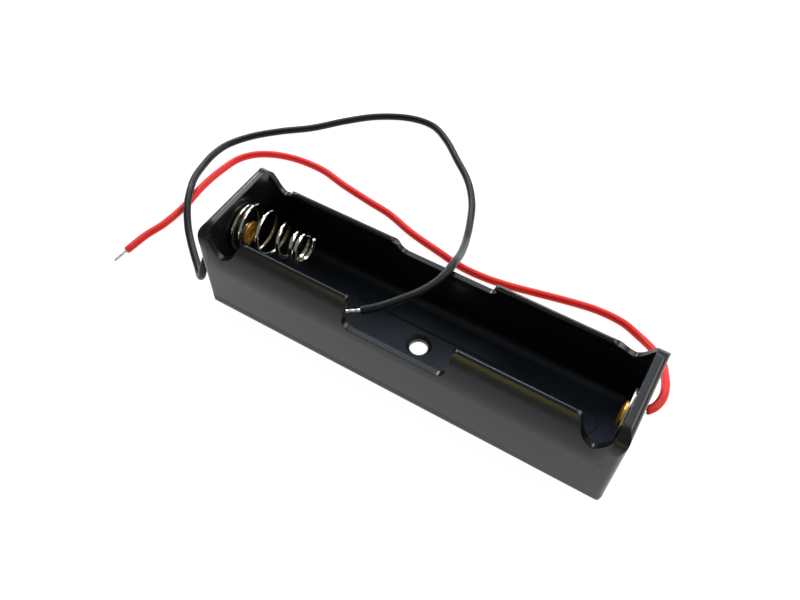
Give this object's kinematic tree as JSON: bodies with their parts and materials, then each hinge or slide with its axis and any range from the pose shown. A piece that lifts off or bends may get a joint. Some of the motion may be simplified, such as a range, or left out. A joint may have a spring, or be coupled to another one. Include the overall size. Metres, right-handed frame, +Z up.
{
  "type": "cylindrical cell holder",
  "caption": "Open-top moulded holder for one cylindrical cell, with a conical spring contact, a riveted plate contact and soldered wire leads.",
  "frame": {"origin": "centre of the tray's footprint, on its base, with the leads left out", "axes": "+X along the cell, from the spring end to the contact plate; +Z up, out of the open top"},
  "size_m": [0.1054, 0.0675, 0.0192],
  "materials": {
    "black_abs": "satin moulded black ABS",
    "nickel_plated_wire": "nickel-plated spring wire",
    "nickel_plate": "nickel-plated steel sheet",
    "brass": "bright brass rivet",
    "tinned_sheet": "tinned steel",
    "solder": "bright tin solder",
    "tinned_copper": "tinned copper strands",
    "black_pvc": "extruded PVC",
    "red_pvc": "extruded PVC"
  },
  "bodies": {
    "holder": {"holder_body": "black_abs", "negative_rivet": "brass", "negative_solder_tag": "tinned_sheet", "negative_solder_joint": "solder", "positive_contact": "nickel_plate", "positive_rivet": "brass", "positive_solder_tag": "tinned_sheet", "positive_solder_joint": "solder", "black_lead": "black_pvc", "black_lead_tip": "tinned_copper", "red_lead": "red_pvc", "red_lead_tip": "tinned_copper"},
    "spring": {"negative_spring": "nickel_plated_wire"}
  },
  "joints": [
    {"name": "spring_press", "type": "slide", "parent": "holder", "child": "spring", "axis": [-1, 0, 0], "range_m": [0, 0.009], "stiffness_N_per_m": 800, "deforming": ["negative_spring"]}
  ]
}
